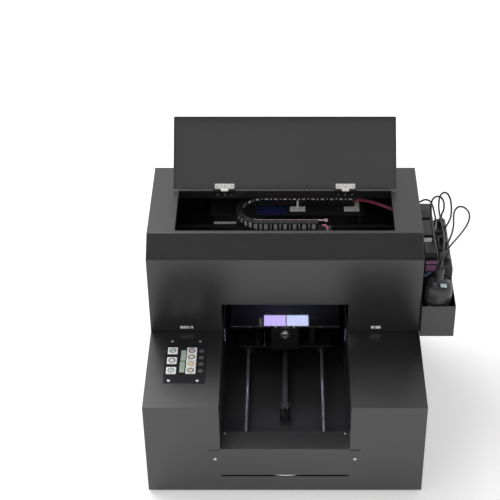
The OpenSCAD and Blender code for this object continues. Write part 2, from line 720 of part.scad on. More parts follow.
place() power_inlet();
place() power_switch();
place() ink_tray();
place() ink_bottles();
place() bottle_caps();
place() waste_bottle();
place() ink_tubes();
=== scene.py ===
"""Looks of a flatbed UV printer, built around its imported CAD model.

Lengths in the calls below are millimetres in the printer's own frame: X from the housing's middle,
Y from its front face to the rear, Z from the housing's underside. at() turns them into scene metres.
"""

import json
import math

import bmesh
import bpy
from mathutils import Matrix, Vector


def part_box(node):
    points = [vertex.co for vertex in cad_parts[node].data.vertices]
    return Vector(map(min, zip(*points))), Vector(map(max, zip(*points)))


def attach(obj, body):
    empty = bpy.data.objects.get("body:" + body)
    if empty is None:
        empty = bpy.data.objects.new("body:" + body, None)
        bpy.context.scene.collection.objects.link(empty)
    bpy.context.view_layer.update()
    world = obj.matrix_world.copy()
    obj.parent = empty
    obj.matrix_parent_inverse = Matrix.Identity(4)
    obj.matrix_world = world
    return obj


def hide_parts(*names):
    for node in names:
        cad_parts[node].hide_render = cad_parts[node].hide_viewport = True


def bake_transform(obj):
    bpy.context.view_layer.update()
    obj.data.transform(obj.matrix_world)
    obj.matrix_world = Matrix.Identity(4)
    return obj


MM = 0.001
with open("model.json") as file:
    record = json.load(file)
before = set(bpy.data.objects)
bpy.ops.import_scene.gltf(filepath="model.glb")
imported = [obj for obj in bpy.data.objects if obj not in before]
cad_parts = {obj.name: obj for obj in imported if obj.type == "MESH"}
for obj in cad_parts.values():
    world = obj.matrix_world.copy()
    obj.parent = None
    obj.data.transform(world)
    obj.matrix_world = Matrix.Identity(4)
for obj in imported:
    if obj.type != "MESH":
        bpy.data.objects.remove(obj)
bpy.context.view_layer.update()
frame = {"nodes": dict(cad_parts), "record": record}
record = frame["record"]
BODY_OF = {n: body for body, nodes in record["behaviour"]["bodies"].items() for n in nodes}
SLOT_OF = {part["node"]: part["material_slot"] for part in record["subparts"]}
BASE = {m["slot"]: m["base_color"] for m in record["materials"]}

case_lo, case_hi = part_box("lower_case")
ORIGIN = Vector(((case_lo.x + case_hi.x) / 2, case_lo.y, case_lo.z))
FLOOR_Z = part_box("feet")[0].z


def at(x, y, z):
    """A place in the printer's own millimetres, as a point in the scene."""
    return ORIGIN + Vector((x, y, z)) * MM


def inside(point):
    """A point of the scene in the printer's own millimetres."""
    return (Vector(point) - ORIGIN) / MM


def node_box(node):
    """The lowest and highest corner of a CAD node, in the printer's millimetres."""
    lo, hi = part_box(node)
    return inside(lo), inside(hi)


# ---- camera ----
def make_camera():
    data = bpy.data.cameras.new("camera")
    data.lens = 100.1
    data.sensor_width = 36.0
    data.shift_x = -0.07
    data.clip_end = 30.0
    camera = bpy.data.objects.new("camera", data)
    camera.location = at(0, -1982, 2117.5)
    camera.rotation_euler = (math.radians(52.9), 0, 0)
    bpy.context.scene.collection.objects.link(camera)
    bpy.context.scene.camera = camera


# ---- materials ----
def start_material(name):
    mat = bpy.data.materials.new(name)
    mat.use_nodes = True
    shader = mat.node_tree.nodes["Principled BSDF"]
    return mat, mat.node_tree.nodes, mat.node_tree.links, shader


def coordinates(nodes, links, stretch):
    place = nodes.new("ShaderNodeTexCoord")
    mapping = nodes.new("ShaderNodeMapping")
    mapping.inputs["Scale"].default_value = stretch
    links.new(place.outputs["Object"], mapping.inputs["Vector"])
    return mapping.outputs["Vector"]


def noise(nodes, links, vector, scale, detail=3.0):
    texture = nodes.new("ShaderNodeTexNoise")
    texture.inputs["Scale"].default_value = scale
    texture.inputs["Detail"].default_value = detail
    links.new(vector, texture.inputs["Vector"])
    return texture.outputs["Fac"]


def ramp(nodes, links, factor, low, high, start=0.3, end=0.7):
    mix = nodes.new("ShaderNodeValToRGB")
    mix.color_ramp.elements[0].position = start
    mix.color_ramp.elements[1].position = end
    mix.color_ramp.elements[0].color = (*low, 1)
    mix.color_ramp.elements[1].color = (*high, 1)
    links.new(factor, mix.inputs["Fac"])
    return mix.outputs["Color"]


def spread(nodes, links, factor, low, high):
    map_range = nodes.new("ShaderNodeMapRange")
    map_range.inputs["From Min"].default_value = 0.3
    map_range.inputs["From Max"].default_value = 0.7
    map_range.inputs["To Min"].default_value = low
    map_range.inputs["To Max"].default_value = high
    links.new(factor, map_range.inputs["Value"])
    return map_range.outputs["Result"]


def add_bump(nodes, links, shader, height, strength, distance):
    bump = nodes.new("ShaderNodeBump")
    bump.inputs["Strength"].default_value = strength
    bump.inputs["Distance"].default_value = distance
    links.new(height, bump.inputs["Height"])
    links.new(bump.outputs["Normal"], shader.inputs["Normal"])


def surface(name, color, rough, metal=0.0, shade=0.12, shade_scale=22.0, wobble=0.05,
            grain=0.0, grain_scale=900.0, stretch=(1, 1, 1), specular=0.5, coat=0.0):
    """A material with a slow change of colour, an uneven gloss and a fine grain in its relief."""
    mat, nodes, links, shader = start_material(name)
    vector = coordinates(nodes, links, stretch)
    slow = noise(nodes, links, vector, shade_scale)
    fine = noise(nodes, links, vector, grain_scale, 2.0)
    low = [c * (1 - shade) for c in color]
    high = [min(1.0, c * (1 + shade)) for c in color]
    links.new(ramp(nodes, links, slow, low, high), shader.inputs["Base Color"])
    links.new(spread(nodes, links, fine, rough - wobble, rough + wobble), shader.inputs["Roughness"])
    if grain:
        add_bump(nodes, links, shader, fine, grain, 0.0002)
    shader.inputs["Metallic"].default_value = metal
    shader.inputs["Specular IOR Level"].default_value = specular
    shader.inputs["Coat Weight"].default_value = coat
    shader.inputs["Coat Roughness"].default_value = 0.08
    return mat


def powder_coat(name, color, rough, specular=0.8):
    """Textured paint on sheet steel: orange peel, a few paler rubbed spots and a patchy gloss."""
    mat, nodes, links, shader = start_material(name)
    vector = coordinates(nodes, links, (1, 1, 1))
    slow = noise(nodes, links, vector, 5.0, 4.0)
    peel = noise(nodes, links, vector, 1300.0, 1.0)
    rubs = noise(nodes, links, vector, 70.0, 6.0)
    base = ramp(nodes, links, slow, [c * 0.9 for c in color], [c * 1.12 for c in color])
    worn = nodes.new("ShaderNodeMix")
    worn.data_type = "RGBA"
    worn.inputs["B"].default_value = (*[c * 1.25 + 0.001 for c in color], 1)
    links.new(spread(nodes, links, rubs, -0.5, 0.32), worn.inputs["Factor"])
    links.new(base, worn.inputs["A"])
    links.new(worn.outputs["Result"], shader.inputs["Base Color"])
    links.new(spread(nodes, links, rubs, rough - 0.015, rough + 0.02), shader.inputs["Roughness"])
    add_bump(nodes, links, shader, peel, 0.22, 0.00012)
    shader.inputs["Specular IOR Level"].default_value = specular
    return mat


def ground_steel(name, color, rough, stretch, grain=0.12):
    """Bright metal with fine lines along one direction."""
    return surface(name, color, rough, metal=1.0, shade=0.12, shade_scale=160.0, wobble=0.05,
                   grain=grain, grain_scale=2500.0, stretch=stretch)


def circuit(name, color):
    """Solder mask with tracks and pads."""
    mat, nodes, links, shader = start_material(name)
    vector = coordinates(nodes, links, (1, 1, 1))
    tracks = nodes.new("ShaderNodeTexBrick")
    tracks.inputs["Scale"].default_value = 70.0
    tracks.inputs["Mortar Size"].default_value = 0.05
    tracks.inputs["Color1"].default_value = (*color, 1)
    tracks.inputs["Color2"].default_value = (*[c * 0.75 for c in color], 1)
    tracks.inputs["Mortar"].default_value = (0.03, 0.12, 0.06, 1)
    links.new(vector, tracks.inputs["Vector"])
    links.new(tracks.outputs["Color"], shader.inputs["Base Color"])
    links.new(spread(nodes, links, noise(nodes, links, vector, 600.0), 0.25, 0.4), shader.inputs["Roughness"])
    add_bump(nodes, links, shader, tracks.outputs["Fac"], 0.3, 0.0001)
    return mat


def lit_window(name, glow, strength):
    """A lamp's window with the grid of its light sources showing through."""
    mat, nodes, links, shader = start_material(name)
    vector = coordinates(nodes, links, (1, 1, 1))
    grid = nodes.new("ShaderNodeTexBrick")
    grid.offset = 0.0
    grid.inputs["Scale"].default_value = 46.0
    grid.inputs["Mortar Size"].default_value = 0.045
    grid.inputs["Mortar Smooth"].default_value = 1.0
    grid.inputs["Color1"].default_value = (*glow, 1)
    grid.inputs["Color2"].default_value = (*[min(1.0, c * 1.06) for c in glow], 1)
    grid.inputs["Mortar"].default_value = (*[c * 0.72 for c in glow[:2]], glow[2] * 0.9, 1)
    links.new(vector, grid.inputs["Vector"])
    links.new(grid.outputs["Color"], shader.inputs["Emission Color"])
    links.new(grid.outputs["Color"], shader.inputs["Base Color"])
    links.new(spread(nodes, links, noise(nodes, links, vector, 300.0), 0.1, 0.2), shader.inputs["Roughness"])
    shader.inputs["Emission Strength"].default_value = strength
    return mat


def make_finishes():
    """One material for each slot of the record."""
    c = {slot: color[:3] for slot, color in BASE.items()}
    return {
        "case_paint": powder_coat("case_paint", c["case_paint"], 0.31, 0.9),
        "lid_paint": powder_coat("lid_paint", c["lid_paint"], 0.38),
        "inner_steel": powder_coat("inner_steel", c["inner_steel"], 0.45, 0.35),
        "white_plastic": surface("white_plastic", c["white_plastic"], 0.3, shade=0.04, grain=0.05),
        "rubber_black": surface("rubber_black", c["rubber_black"], 0.75, grain=0.4, grain_scale=1500.0),
        "screw_steel": ground_steel("screw_steel", (0.62, 0.62, 0.65), 0.28, (1, 1, 1)),
        "chrome": surface("chrome", c["chrome"], 0.28, metal=0.45, shade=0.05, shade_scale=90.0,
                          wobble=0.04, grain=0.03, grain_scale=700.0),
        "keypad_film": surface("keypad_film", c["keypad_film"], 0.2, shade=0.2, shade_scale=30.0,
                               grain=0.04, grain_scale=1800.0),
        "key_white": surface("key_white", c["key_white"], 0.38, shade=0.05, shade_scale=120.0,
                             grain=0.08, grain_scale=1800.0),
        "circuit_board": circuit("circuit_board", c["circuit_board"]),
        "bright_steel": surface("bright_steel", c["bright_steel"], 0.25, metal=0.85, shade=0.08,
                                shade_scale=160.0, grain=0.03, grain_scale=2500.0, stretch=(1, 0.01, 1)),
        "dark_alloy": surface("dark_alloy", c["dark_alloy"], 0.45, metal=0.3, shade_scale=60.0,
                              grain=0.15, grain_scale=1500.0),
        "bed_gloss": surface("bed_gloss", c["bed_gloss"], 0.045, shade=0.3, wobble=0.02,
                             grain_scale=60.0, coat=0.6),
        "belt_rubber": surface("belt_rubber", c["belt_rubber"], 0.5, grain=0.3, grain_scale=900.0),
        "motor_black": surface("motor_black", c["motor_black"], 0.4, grain=0.2),
        "head_plastic": surface("head_plastic", c["head_plastic"], 0.42, grain=0.25, grain_scale=1200.0),
        "lamp_shell": surface("lamp_shell", c["lamp_shell"], 0.38, metal=0.8, grain=0.1),
        "lamp_glass": lit_window("lamp_glass", (0.62, 0.52, 1.0), 1.2),
        "chain_plastic": surface("chain_plastic", c["chain_plastic"], 0.42, grain=0.12),
        "ink_tube_red": surface("ink_tube_red", c["ink_tube_red"], 0.22, shade=0.3, shade_scale=60.0),
        "ink_tube_pink": surface("ink_tube_pink", c["ink_tube_pink"], 0.22, shade=0.3, shade_scale=60.0),
        "psu_metal": surface("psu_metal", c["psu_metal"], 0.35, metal=0.9, shade=0.2, shade_scale=50.0),
        "fan_plastic": surface("fan_plastic", c["fan_plastic"], 0.4, grain=0.12),
        "socket_plastic": surface("socket_plastic", c["socket_plastic"], 0.32, grain=0.1),
        "switch_plastic": surface("switch_plastic", c["switch_plastic"], 0.2, grain=0.04),
        "bottle_plastic": surface("bottle_plastic", c["bottle_plastic"], 0.32, shade=0.2, shade_scale=35.0,
                                  grain=0.12, grain_scale=500.0),
        "cap_plastic": surface("cap_plastic", c["cap_plastic"], 0.4, grain=0.15),
        "tube_black": surface("tube_black", c["tube_black"], 0.22, shade=0.2, grain=0.04),
    }


def print_finishes():
    """Inks and films of the small printed marks, and the colours of a painted lamp highlight and a painted
    lamp glow.
    """
    return {
        "dark": surface("print_dark", (0.02, 0.022, 0.024), 0.35),
        "teal": surface("print_teal", (0.12, 0.2, 0.18), 0.35),
        "pale_teal": surface("print_pale_teal", (0.4, 0.52, 0.48), 0.35),
        "gold": surface("print_gold", (0.42, 0.3, 0.08), 0.35),
        "pale_gold": surface("print_pale_gold", (0.75, 0.62, 0.33), 0.35),
        "pink": surface("print_pink", (0.62, 0.4, 0.45), 0.35),
        "violet_label": surface("label_violet", (0.28, 0.12, 0.24), 0.35),
        "blue_label": surface("label_blue", (0.25, 0.32, 0.6), 0.35),
        "white_label": surface("label_white", (0.72, 0.72, 0.72), 0.45, grain=0.05),
        "mint_label": surface("label_mint", (0.55, 0.68, 0.66), 0.4, grain=0.05),
        "green_film": surface("film_green", (0.36, 0.46, 0.36), 0.3),
        "smoke": surface("film_smoke", (0.09, 0.087, 0.09), 0.25),
        # painted glow of the lamp's blue light
        "blue_lamp_glow": surface("painted_blue_glow", (0.012, 0.018, 0.1), 0.3),
        # painted highlight of the lamp's violet light
        "pale_violet": surface("painted_violet_highlight", (0.6, 0.54, 0.85), 0.2),
        "ribbon": surface("ribbon_grey", (0.86, 0.86, 0.86), 0.45, grain=0.1, stretch=(0.2, 0.2, 6)),
    }


# ---- mesh tools ----
def add_block(kit, x, y, z, width=0.4, turn=None):
    """A box with rounded edges, from its ranges along X, Y and Z."""
    size = Vector((x[1] - x[0], y[1] - y[0], z[1] - z[0])) * MM
    centre = at((x[0] + x[1]) / 2, (y[0] + y[1]) / 2, (z[0] + z[1]) / 2)
    matrix = Matrix.Translation(centre) @ (turn or Matrix.Identity(4)) @ Matrix.Diagonal((*size, 1))
    made = bmesh.ops.create_cube(kit, size=1.0, matrix=matrix)
    edges = {e for v in made["verts"] for e in v.link_edges}
    if width:
        bmesh.ops.bevel(kit, geom=list(edges), offset=width * MM, segments=2, profile=0.5,
                        affect="EDGES", clamp_overlap=True)


def add_lathe(kit, centre, axis, profile, steps=32, ripple=None):
    """A turned body. The profile is [radius, height] in millimetres along the axis from the centre."""
    turn = Vector((0, 0, 1)).rotation_difference(Vector(axis)).to_matrix().to_4x4()
    place = Matrix.Translation(at(*centre)) @ turn
    rings = []
    for radius, height in profile:
        if radius == 0:
            rings.append([kit.verts.new(place @ Vector((0, 0, height * MM)))])
            continue
        ring = []
        for k in range(steps):
            angle = 2 * math.pi * k / steps
            r = radius * MM * (ripple(radius, k) if ripple else 1)
            point = Vector((r * math.cos(angle), r * math.sin(angle), height * MM))
            ring.append(kit.verts.new(place @ point))
        rings.append(ring)
    for a, b in zip(rings, rings[1:]):
        for k in range(steps):
            m = (k + 1) % steps
            corners = [a[k % len(a)], a[m % len(a)], b[m % len(b)], b[k % len(b)]]
            corners = list(dict.fromkeys(corners))
            if len(corners) > 2:
                kit.faces.new(corners)
    return rings


def add_prism(kit, outline, base, height, place):
    """A flat outline in millimetres, raised from base by height, then moved by place."""
    low = [kit.verts.new(place @ (Vector((x, y, base)) * MM)) for x, y in outline]
    high = [kit.verts.new(place @ (Vector((x, y, base + height)) * MM)) for x, y in outline]
    kit.faces.new(low[::-1])
    kit.faces.new(high)
    for k in range(len(outline)):
        m = (k + 1) % len(outline)
        kit.faces.new([low[k], low[m], high[m], high[k]])


def add_tube(kit, path, radius, steps=10):
    """A round tube along scene points, with closed ends."""
    side = Vector((0.3, 0.1, 1))
    rings = []
    for i, point in enumerate(path):
        ahead = (path[min(i + 1, len(path) - 1)] - path[max(i - 1, 0)]).normalized()
        side = (side - ahead * side.dot(ahead)).normalized()
        other = ahead.cross(side)
        rings.append([
            kit.verts.new(point + (side * math.cos(a) + other * math.sin(a)) * radius * MM)
            for a in (2 * math.pi * k / steps for k in range(steps))
        ])
    for a, b in zip(rings, rings[1:]):
        for k in range(steps):
            kit.faces.new([a[k], a[(k + 1) % steps], b[(k + 1) % steps], b[k]])
    kit.faces.new(rings[0][::-1])
    kit.faces.new(rings[-1])


def add_screw(kit, centre, axis, radius, height=1.3):
    """A pan head with a round socket."""
    add_lathe(kit, centre, axis, [
        (0, height * 0.45), (radius * 0.36, height * 0.45), (radius * 0.42, height),
        (radius * 0.7, height * 0.98), (radius * 0.92, height * 0.75), (radius, height * 0.35),
        (radius, 0.02), (0, 0.02)], 20)


def piece(name, kit, body, mat, nodes=(), sharp=35.0):
    """Turns a bmesh into a piece that rides on a body."""
    bmesh.ops.recalc_face_normals(kit, faces=kit.faces)
    mesh = bpy.data.meshes.new(name)
    kit.to_mesh(mesh)
    kit.free()
    mesh.polygons.foreach_set("use_smooth", [True] * len(mesh.polygons))
    mesh.set_sharp_from_angle(angle=math.radians(sharp))
    mesh.materials.append(mat)
    obj = bpy.data.objects.new(name, mesh)
    bpy.context.scene.collection.objects.link(obj)
    weighted = obj.modifiers.new("weighted_normals", "WEIGHTED_NORMAL")
    weighted.keep_sharp = True
    if body:
        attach(obj, body)
    if nodes:
        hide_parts(*nodes)
    return obj


def rounded(node, width):
    """A finished copy of a CAD node, the same shape with its long edges rounded."""
    kit = bmesh.new()
    kit.from_mesh(frame["nodes"][node].data)
    bmesh.ops.remove_doubles(kit, verts=kit.verts, dist=0.002 * MM)
    bmesh.ops.dissolve_limit(kit, angle_limit=math.radians(1), verts=kit.verts, edges=kit.edges)
    edges = [e for e in kit.edges if len(e.link_faces) == 2 and e.calc_face_angle(0) > math.radians(30)
             and e.calc_length() > 2.6 * width * MM]
    bmesh.ops.bevel(kit, geom=edges, offset=width * MM, segments=2, profile=0.5,
                    affect="EDGES", clamp_overlap=True)
    slot = SLOT_OF[node]
    return piece(node + "_body", kit, BODY_OF[node], FINISH[slot], [node])


# ---- free tubes ----
# routes of the free tubes: three from the big bottle's cap, the last from the housing
INK_ROUTES = [
    [[311, 251, 384], [311, 251, 390], [311, 251, 397], [310, 257, 406], [309, 270, 410],
     [308, 290, 409], [308, 313, 405], [308, 336, 402], [308, 358, 401], [308, 379, 403],
     [308, 397, 408], [308, 410, 416], [308, 417, 427], [312, 421, 438], [322, 423, 442],
     [332, 421, 438], [336, 416, 427], [336, 413, 415], [335, 417, 404], [334, 425, 396],
     [334, 429, 388], [334, 429, 381], [334, 429, 375]],
    [[319, 252, 384], [319, 252, 390], [319, 252, 397], [320, 259, 406], [322, 273, 410],
     [325, 293, 410], [328, 318, 406], [329, 348, 403], [328, 378, 404], [326, 402, 408],
     [325, 418, 414], [326, 430, 422], [328, 438, 430], [334, 444, 436], [343, 444, 436],
     [349, 438, 430], [352, 429, 422], [352, 413, 413], [350, 398, 406], [345, 386, 401],
     [338, 376, 397], [334, 370, 390], [334, 370, 381], [334, 370, 375]],
    [[315, 244, 384], [315, 244, 390], [316, 244, 398], [319, 251, 408], [327, 264, 415],
     [338, 284, 417], [350, 306, 413], [361, 328, 409], [373, 351, 407], [384, 374, 407],
     [390, 397, 409], [387, 416, 411], [377, 427, 412], [366, 427, 411], [358, 415, 408],
     [355, 397, 405], [354, 376, 403], [350, 354, 402], [344, 334, 402], [338, 318, 401],
     [334, 311, 395], [334, 311, 386], [334, 312, 380], [334, 312, 375]],
    [[280, 472, 388], [286, 472, 388], [293, 472, 393], [300, 472, 398], [308, 470, 399],
     [315, 464, 396], [318, 453, 391], [319, 438, 389], [320, 421, 388], [320, 404, 388],
     [318, 387, 391], [315, 371, 396], [312, 358, 399], [310, 349, 394], [310, 347, 387],
     [310, 347, 380]],
]
TUBE_D = 4.0


def smooth_route(points, steps=5):
    """The smooth line that the given points steer: a cubic B-spline that starts and ends at them."""
    p = [Vector(q) for q in points]
    p = [2 * p[0] - p[1], *p, 2 * p[-1] - p[-2]]
    line = []
    for a, b, c, d in zip(p, p[1:], p[2:], p[3:]):
        for k in range(steps):
            t = k / steps
            line.append(((1 - t) ** 3 * a + (3 * t ** 3 - 6 * t * t + 4) * b
                         + (-3 * t ** 3 + 3 * t * t + 3 * t + 1) * c + t ** 3 * d) / 6)
    line.append(p[-2])
    return [at(*q) for q in line]


def make_ink_tubes():
    """Four black tubes: three from the big bottle's cap to ink bottles, one from the housing to a bottle."""
    for i, route in enumerate(INK_ROUTES):
        line = smooth_route(route)
        curve = bpy.data.curves.new(f"ink_tube_{i + 1}", "CURVE")
        curve.dimensions = "3D"
        curve.bevel_depth = TUBE_D / 2 * MM
        curve.bevel_resolution = 3
        curve.use_fill_caps = True
        spline = curve.splines.new("POLY")
        spline.points.add(len(line) - 1)
        spline.points.foreach_set("co", [v for q in line for v in (*q, 1.0)])
        curve.materials.append(FINISH["tube_black"])
        tube = bpy.data.objects.new(curve.name, curve)
        bpy.context.scene.collection.objects.link(tube)
        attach(tube, "housing")
        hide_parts("ink_tubes")


def make_tube_fittings():
    """Short barbed sleeves where the tubes go into caps, bottle and housing."""
    kit = bmesh.new()
    for route in INK_ROUTES:
        for end, inner in ((route[0], route[1]), (route[-1], route[-2])):
            add_lathe(kit, end, Vector(inner) - Vector(end), [
                (0, 0.05), (3.6, 0.05), (3.6, 1.4), (2.9, 2.2), (2.9, 4.0), (2.6, 4.8), (2.1, 5.0),
                (0, 5.0)], 16)
    piece("tube_fittings", kit, "housing", FINISH["cap_plastic"])


# ---- housing ----
EDGE_WIDTH = {"lower_case": 0.9, "upper_case": 1.2, "rear_panel": 0.6, "base_pan": 0.6, "lid_panel": 0.7,
              "channel_trough": 0.5, "bed_plate": 0.9, "carriage_housing": 1.4, "uv_lamp": 1.2,
              "print_head": 1.0, "ink_tray": 0.9, "capping_station": 1.2, "ink_bottles": 1.8,
              "power_supply": 0.6, "slide_base": 0.6, "bed_riser": 0.8, "lift_wedge": 0.6, "guide_rail": 0.8,
              "feet": 1.5, "chain_brackets": 0.35, "power_switch": 0.6, "cap_pad": 0.8}
KEYS = [f"key_left_{i}" for i in (1, 2, 3)] + [f"key_right_{i}" for i in (1, 2, 3, 4)]
for key in KEYS:
    EDGE_WIDTH[key] = 0.7
REBUILT = ["ink_tubes", "cable_chain", "supply_tubes", "carriage_tubes", "lift_knob", "bed_belt",
           "carriage_belt", "bed_drive_pulley", "bed_idler_pulley", "carriage_drive_pulley",
           "carriage_idler_pulley", "lamp_windows", "fan_rotor", "waste_bottle", "housing_screws",
           "bottle_caps", "slot_lip"]


def make_rounded_nodes():
    for node in frame["nodes"]:
        if node not in REBUILT:
            rounded(node, EDGE_WIDTH.get(node, 0.35))


def make_screws():
    """Every fastener of the housing, with its shank inside the sheet."""
    kit = bmesh.new()
    pad_top = node_box("keypad_overlay")[1].z
    lip_top = 118
    spots = [((x, y, pad_top), (0, 0, 1), 3.4) for x in (-232.6, -175.2) for y in (78.5, 198.6)]
    spots += [((x, 0, 90), (0, -1, 0), 3.4) for x in (-141, 141)]
    spots += [((x, 44, lip_top), (0, 0, 1), 2.4) for x in (-122, 122)]
    spots += [((x, 515, z), (0, 1, 0), 3.4) for x in (-265, 265) for z in (20, 230, 438)]
    for centre, axis, radius in spots:
        add_screw(kit, centre, axis, radius)
        add_lathe(kit, centre, axis, [(0, 0.03), (1.5, 0.03), (1.5, -5), (0, -5.6)], 12)
    piece("housing_screw_heads", kit, "housing", FINISH["screw_steel"], ["housing_screws"])


def make_slot_sheet():
    """The curved white edge that shows in the front slot."""
    kit = bmesh.new()
    centre, outer, inner = (1.5, 130), 129, 119
    turns = [math.radians(-90 + a) for a in [-12.4 + 24.8 * k / 24 for k in range(25)]]
    outline = [(centre[0] + outer * math.cos(a), centre[1] + outer * math.sin(a)) for a in turns]
    outline += [(centre[0] + inner * math.cos(a), centre[1] + inner * math.sin(a)) for a in turns[::-1]]
    add_prism(kit, outline, 41, 2, Matrix.Translation(ORIGIN))
    piece("slot_edge", kit, "housing", FINISH["white_plastic"], ["slot_lip"])


# how far the hinge leaves and the lid's inner face stand from the hinge pin, across the lid
LEAF_FACE, LID_FACE = 0.6, -1.0


def make_hinge_screws():
    """Countersunk screws through the lid's leaves, and small rivets through the frame's."""
    lid, housing = bmesh.new(), bmesh.new()
    pin_y, pin_z, opened = 424, 455, math.radians(132)
    along = Vector((0, -math.cos(opened), math.sin(opened)))
    out = Vector((0, -math.sin(opened), -math.cos(opened)))
    for x in (-127, 127):
        for dx in (-15, 0, 15):
            spot = Vector((x + dx, pin_y, pin_z)) + along * 7.5 + out * LEAF_FACE
            add_screw(lid, spot, out, 1.8, 0.6)
            add_screw(housing, (x + dx, pin_y + 1.38, pin_z - 12), (0, -1, 0), 2.4, 0.7)
    piece("lid_hinge_screws", lid, "lid", FINISH["screw_steel"])
    piece("frame_hinge_screws", housing, "housing", FINISH["screw_steel"])


def make_lid_bumps():
    """Two small rubber stops on the lid's inner face."""
    kit = bmesh.new()
    opened = math.radians(132)
    along = Vector((0, -math.cos(opened), math.sin(opened)))
    out = Vector((0, -math.sin(opened), -math.cos(opened)))
    for x in (-13, 45):
        spot = Vector((x, 424, 455)) + along * 8 + out * LID_FACE
        add_lathe(kit, spot, out, [(0, 1.6), (1.6, 1.5), (2.5, 0.9), (2.8, 0), (2.8, -0.6), (0, -0.6)], 20)
    piece("lid_stops", kit, "lid", FINISH["rubber_black"])


def make_wall_marks():
    """Plain white bars in place of the printed words on the front wall."""
    kit = bmesh.new()
    for x0, x1 in ((-218, -213), (-212, -207), (-206, -202), (-200.5, -198.5), (-196, -191),
                   (179, 186), (188, 199)):
        add_block(kit, (x0, x1), (229.6, 230.05), (239.5, 246.5), 0.15)
    for x0, x1 in ((-32, -27), (-25, -19), (-17.5, -16), (-14.5, -13), (-11, -9)):
        add_block(kit, (x0, x1), (50, 50.35), (114.5, 117.6), 0.1)
    piece("wall_marks", kit, "housing", MARK["white_label"])


# ---- keypad ----
def make_keypad_marks():
    """Plain rings on the keys, four lamp windows and the two-part strip between the columns."""
    rings = {"key_left_1": ("teal", "pale_teal"), "key_left_2": ("dark", "white_label"),
             "key_left_3": ("teal", "pale_teal"), "key_right_1": ("dark", "pink"),
             "key_right_2": ("dark", "pale_gold"), "key_right_3": ("gold", "pale_gold"),
             "key_right_4": ("dark", "pale_gold")}
    for key, (ring_ink, disc_ink) in rings.items():
        lo, hi = node_box(key)
        centre = ((lo.x + hi.x) / 2, (lo.y + hi.y) / 2, hi.z - 0.02)
        ring = bmesh.new()
        add_lathe(ring, centre, (0, 0, 1), [
            (4.9, 0), (4.9, 0.16), (5.2, 0.2), (6.9, 0.2), (7.2, 0.16), (7.2, 0)], 36)
        piece(key + "_ring", ring, BODY_OF[key], MARK[ring_ink])
        disc = bmesh.new()
        add_lathe(disc, centre, (0, 0, 1), [(0, 0.14), (3.3, 0.14), (3.6, 0.1), (3.6, 0)], 28)
        piece(key + "_disc", disc, BODY_OF[key], MARK[disc_ink])
    top = node_box("keypad_overlay")[1].z
    lamps = bmesh.new()
    for y in (168, 148, 128, 108):
        add_lathe(lamps, (-170.5, y, top - 0.02), (0, 0, 1), [
            (0, 0.3), (4.2, 0.3), (5.2, 0.15), (5.4, 0)], 28)
    piece("keypad_lamp_windows", lamps, "housing", MARK["smoke"])
    strip = bmesh.new()
    add_block(strip, (-213.5, -203), (103, 135.4), (top - 0.1, top + 0.2), 0.1)
    add_block(strip, (-212.5, -202.5), (137.6, 170), (top - 0.1, top + 0.2), 0.1)
    piece("keypad_strip", strip, "housing", MARK["green_film"])


# ---- bed ----
def make_bed_details():
    """Bright screws on the bed's front edge, and the knurled knob under it."""
    lo, hi = node_box("bed_plate")
    kit = bmesh.new()
    for x in (-20, 20):
        add_screw(kit, (x, lo.y + 0.02, (lo.z + hi.z) / 2), (0, -1, 0), 2.7, 0.9)
    piece("bed_front_screws", kit, "bed_table", FINISH["screw_steel"])
    knob = bmesh.new()
    add_lathe(knob, (0, 307, 162), (0, -1, 0), [
        (0, 0), (10.4, 0), (11, 0.8), (11, 9.2), (10.3, 10), (8.2, 10), (8, 10.3), (8, 11.2), (7.6, 11.5),
        (4.2, 11.5), (3.4, 10.4), (2.2, 10.4), (1.8, 11.3), (0, 11.4)], 96,
        lambda r, k: 0.94 if r > 10.2 and k % 4 < 2 else 1.0)
    turned = surface("turned_chrome", (0.78, 0.76, 0.74), 0.16, metal=1.0, shade=0.06, shade_scale=90.0,
                     wobble=0.05, grain=0.05, grain_scale=700.0)
    piece("lift_knob_knurled", knob, "lift_knob_body", turned, ["lift_knob"])


def make_channel_details():
    """A cover strip along the channel's floor, pale violet strips by its walls that are painted highlights of
    the lamp's light, two stop pins on the slide, and a dark blue patch on the shelf that is painted glow of
    the lamp's light.
    """
    kit = bmesh.new()
    add_block(kit, (-6, 6), (52, 130), (71.9, 72.7), 0.2)
    piece("channel_floor_strip", kit, "housing", FINISH["belt_rubber"])
    # pale violet strips by the channel's walls: painted highlights of the lamp's violet light
    highlight_kit = bmesh.new()
    for x in (-129.5, 129.5):
        add_block(highlight_kit, (x - 0.6, x + 0.6), (298, 302), (146, 178), 0.3)
    piece("channel_painted_lamp_highlights", highlight_kit, "housing", MARK["pale_violet"])
    flag = bmesh.new()
    add_block(flag, (-151, -104), (414.3, 416.3), (367.9, 379.5), 0.4)
    add_block(flag, (-151, -104), (414.3, 418.6), (367.9, 369.4), 0.3)
    piece("rail_sensor_flag", flag, "housing", FINISH["white_plastic"])
    pins = bmesh.new()
    for x in (-44.5, -27):
        add_lathe(pins, (x, 319, 117.8), (0, 0, 1), [(0, 0), (1.0, 0), (1.0, 33), (0.7, 33.6), (0, 33.6)], 14)
        add_lathe(pins, (x, 319, 118), (0, 0, 1), [(0, 0), (2.2, 0), (2.2, 1.6), (0, 1.6)], 6)
    piece("slide_stop_pins", pins, BODY_OF["slide_base"], FINISH["screw_steel"])
    # a dark blue patch on the shelf: painted glow of the lamp's light coming up through an opening
    glow_kit = bmesh.new()
    add_block(glow_kit, (-60, 2), (429, 459), (388.95, 389.3), 0.1)
    piece("shelf_painted_lamp_glow", glow_kit, "housing", MARK["blue_lamp_glow"])


def toothed(kit, centre, axis, radius, length, teeth):
    """A belt pulley with its teeth."""
    add_lathe(kit, centre, axis, [(0, 0), (radius, 0), (radius, length), (0, length)], teeth * 4,
              lambda r, k: 0.9 if k % 4 < 2 else 1.0)


